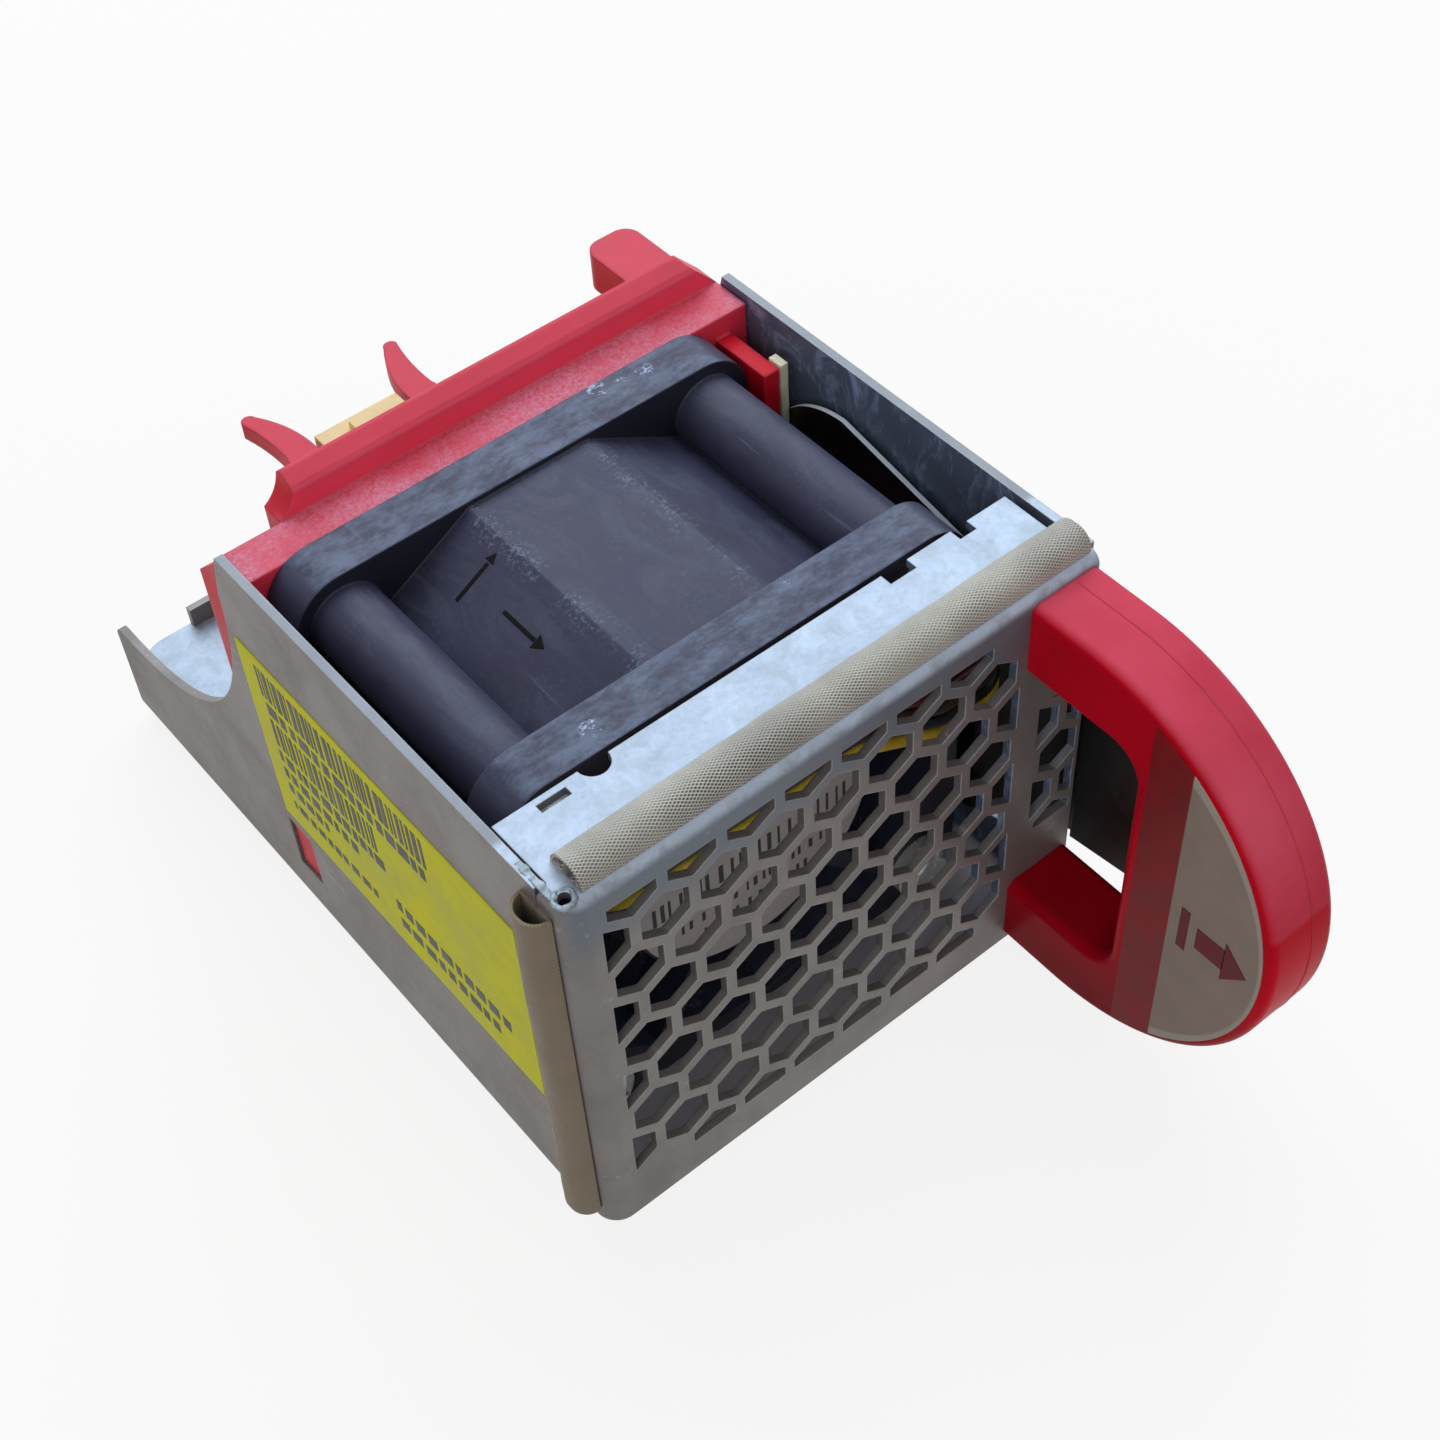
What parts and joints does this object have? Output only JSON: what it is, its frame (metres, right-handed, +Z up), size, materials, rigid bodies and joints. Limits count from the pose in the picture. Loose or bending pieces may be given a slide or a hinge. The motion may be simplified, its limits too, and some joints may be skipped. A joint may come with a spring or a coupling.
{
  "type": "hot-swap fan module",
  "caption": "Plug-in fan module: folded steel tray with a honeycomb grille, axial fan, moulded rear bracket with a blind-mate plug, D-handle and side release lever.",
  "frame": {"origin": "on the underside of the floor, at the middle of the tray's width, in the plane of the grille's front face", "axes": "+X to the right seen from the grille, +Y to the rear into the chassis, +Z up"},
  "size_m": [0.0506, 0.0985, 0.043],
  "materials": {
    "zinc_sheet": "galvanised sheet, satin",
    "gasket_fabric": "woven conductive fabric",
    "fan_black": "glass-filled, satin",
    "silver_label": "satin foil",
    "bright_steel": "bright",
    "ferrite": "matte",
    "core_steel": "laminated",
    "copper": "enamelled",
    "board_green": "solder mask",
    "bracket_red": "satin moulded",
    "handle_red": "glossy moulded",
    "plug_cream": "satin",
    "contact_brass": "plated",
    "lead_yellow": "satin",
    "lead_black": "satin",
    "lead_brown": "satin",
    "lead_red": "satin",
    "panel_label": "satin film",
    "yellow_label": "satin film",
    "lever_black": "satin black",
    "tab_black": "satin"
  },
  "bodies": {
    "module": {"tray": "zinc_sheet", "front_plate": "zinc_sheet", "top_gasket": "gasket_fabric", "side_gasket": "gasket_fabric", "fan_frame": "fan_black", "hub_label": "silver_label", "front_bearing": "bright_steel", "rear_bearing": "bright_steel", "preload_spring": "bright_steel", "stator_core": "core_steel", "stator_coils": "copper", "fan_board": "board_green", "fan_screws": "bright_steel", "handle_screws": "bright_steel", "rear_bracket": "bracket_red", "connector_housing": "plug_cream", "connector_contacts": "contact_brass", "lead_yellow": "lead_yellow", "lead_black": "lead_black", "lead_brown": "lead_brown", "lead_red": "lead_red", "handle": "handle_red", "handle_label": "panel_label", "side_label": "yellow_label", "latch_anchor": "zinc_sheet", "latch_rivets": "bright_steel"},
    "rotor": {"impeller": "fan_black", "rotor_yoke": "bright_steel", "ring_magnet": "ferrite", "shaft": "bright_steel", "shaft_clip": "bright_steel"},
    "latch": {"latch_lever": "lever_black", "latch_tab": "tab_black"}
  },
  "joints": [
    {"name": "impeller_spin", "type": "hinge", "parent": "module", "child": "rotor", "pos_m": [-0.0013, 0.0088, 0.0208], "axis": [0, 1, 0], "continuous": true},
    {"name": "latch_release", "type": "hinge", "parent": "module", "child": "latch", "pos_m": [0.02145, 0.0306, 0.0195], "axis": [0, 0, -1], "range_deg": [0, 2.6], "stiffness_Nm_per_rad": 2}
  ]
}
